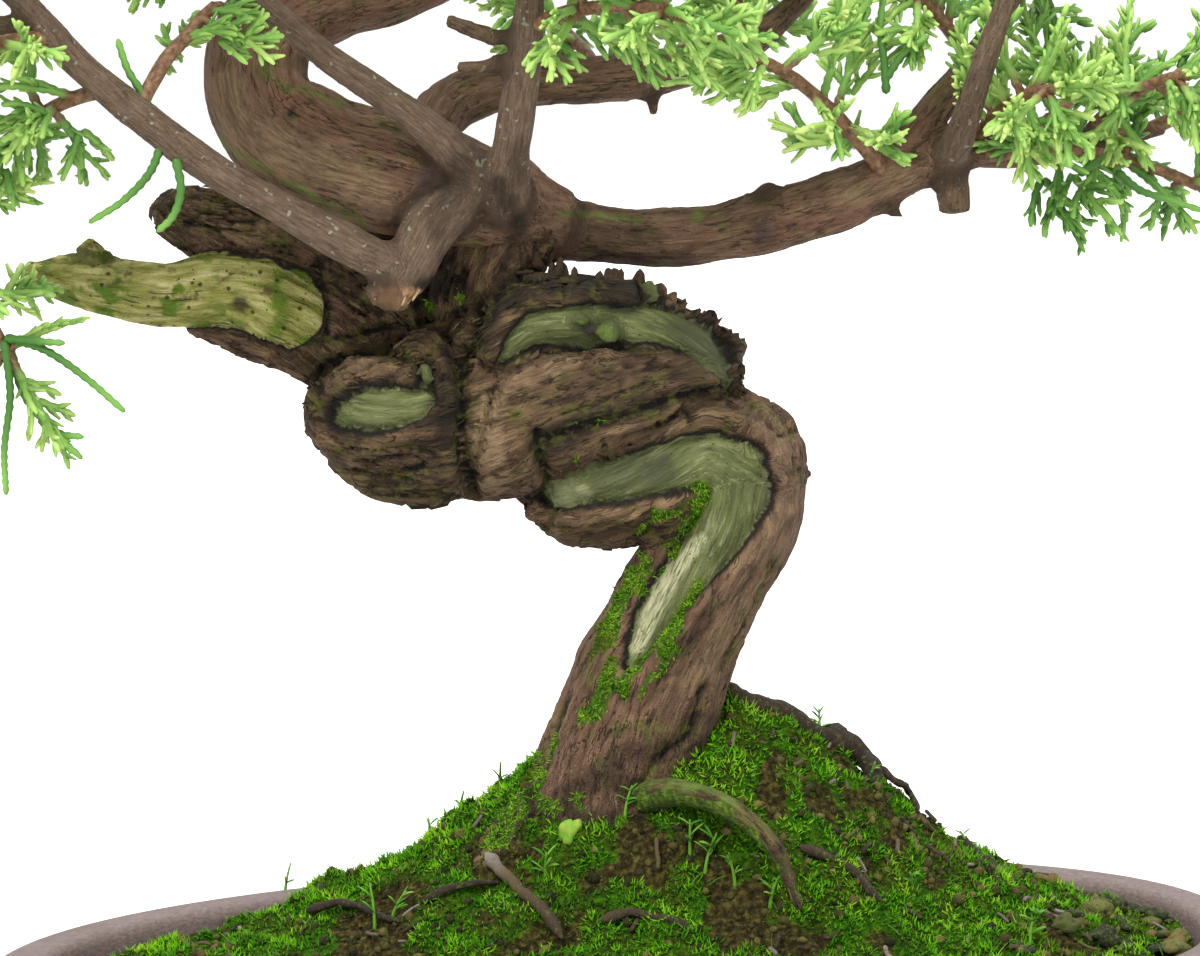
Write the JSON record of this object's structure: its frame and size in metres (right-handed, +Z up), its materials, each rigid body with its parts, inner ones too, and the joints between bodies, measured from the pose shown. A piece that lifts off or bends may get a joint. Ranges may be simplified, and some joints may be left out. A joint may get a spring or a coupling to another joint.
{
  "type": "itoigawa juniper bonsai",
  "caption": "Itoigawa juniper bonsai: coiled trunk with stripped deadwood, drooping cord-like foliage and a mossy root mound, planted in a low oval unglazed pot.",
  "frame": {"origin": "under the middle of the whole plant's box, on the surface that the pot stands on", "axes": "+Z up, +X along the pot's long side, -Y towards the pot's front"},
  "size_m": [0.2646, 0.1386, 0.2557],
  "materials": {
    "clay": "satin",
    "moss_and_soil": "matte",
    "bark": "matte",
    "foliage": "satin"
  },
  "bodies": {
    "root": {"pot": "clay", "soil": "moss_and_soil", "trunk": "bark", "spray_right_tip": "foliage", "spray_right_trailing": "foliage", "spray_right_front": "foliage", "spray_right_back": "foliage", "spray_right_over": "foliage", "spray_right_inner": "foliage", "spray_right_crown": "foliage", "spray_right_crown_front": "foliage", "spray_right_crown_back": "foliage", "spray_apex": "foliage", "spray_apex_right": "foliage", "spray_apex_front": "foliage", "spray_apex_left": "foliage", "spray_apex_back": "foliage", "spray_leader_left": "foliage", "spray_back_tip": "foliage", "spray_back_low": "foliage", "spray_back_rise": "foliage", "spray_back_inner": "foliage", "spray_front_crown": "foliage", "spray_front_fall": "foliage", "spray_front_tip": "foliage", "spray_left_crown": "foliage", "spray_left_crown_front": "foliage", "spray_left_crown_back": "foliage", "spray_left_tip": "foliage", "spray_left_side": "foliage", "spray_left_low": "foliage", "spray_left_twig": "foliage", "spray_left_hanging": "foliage"}
  },
  "joints": []
}
